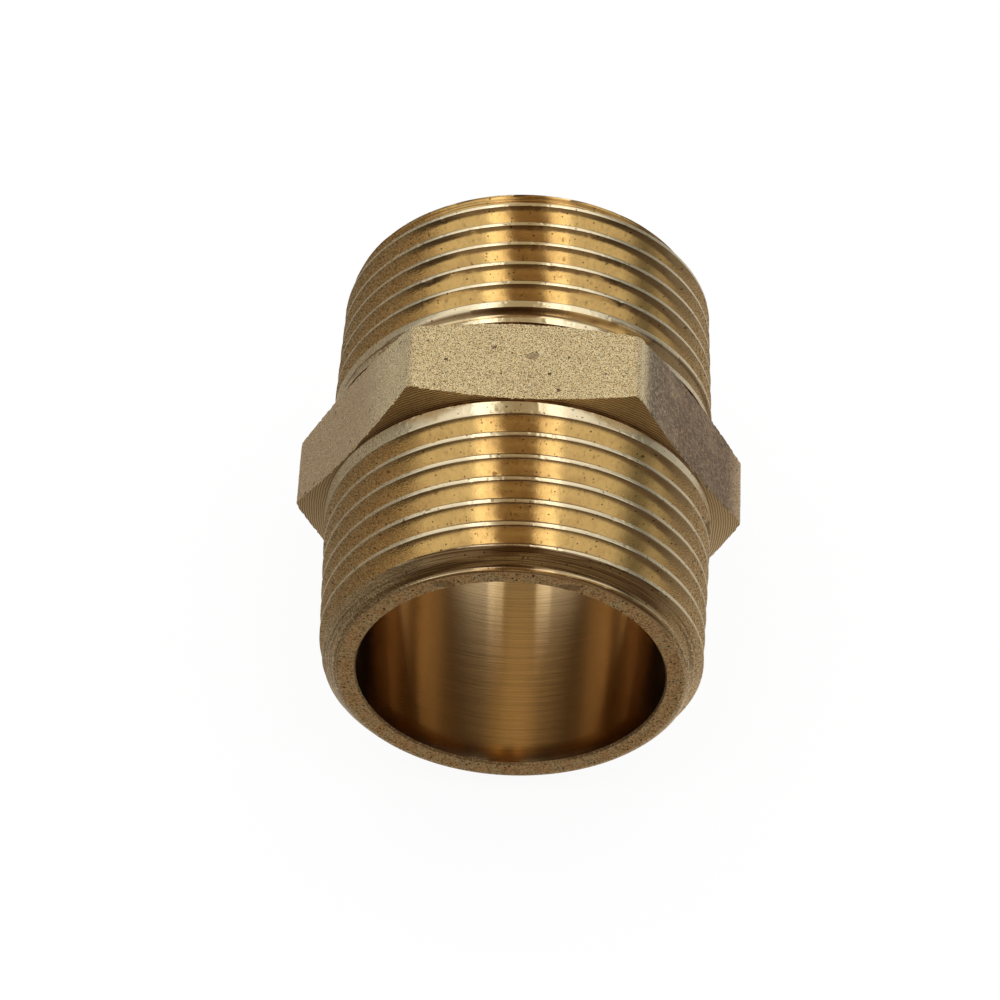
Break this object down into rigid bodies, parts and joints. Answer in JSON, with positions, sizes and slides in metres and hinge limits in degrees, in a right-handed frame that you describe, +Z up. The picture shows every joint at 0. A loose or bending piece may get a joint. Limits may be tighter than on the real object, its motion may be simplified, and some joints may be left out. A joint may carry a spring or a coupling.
{
  "type": "hex nipple",
  "caption": "Brass pipe nipple with right-hand taper male threads on both ends, a wrench hexagon between them and a straight waterway through.",
  "frame": {"origin": "on the waterway's axis at the hexagon's centre, which is the centre of the part", "axes": "+Y along the waterway towards the rear threaded end, +Z up out of the top wrench flat, +X to the right"},
  "size_m": [0.0388, 0.0414, 0.0338],
  "materials": {
    "turned_brass": "turned, semi-gloss, with tool lines",
    "cast_brass": "as cast, fine grain, satin"
  },
  "bodies": {
    "root": {"hexagon": "cast_brass", "front_threaded_end": "turned_brass", "rear_threaded_end": "turned_brass"}
  },
  "joints": []
}
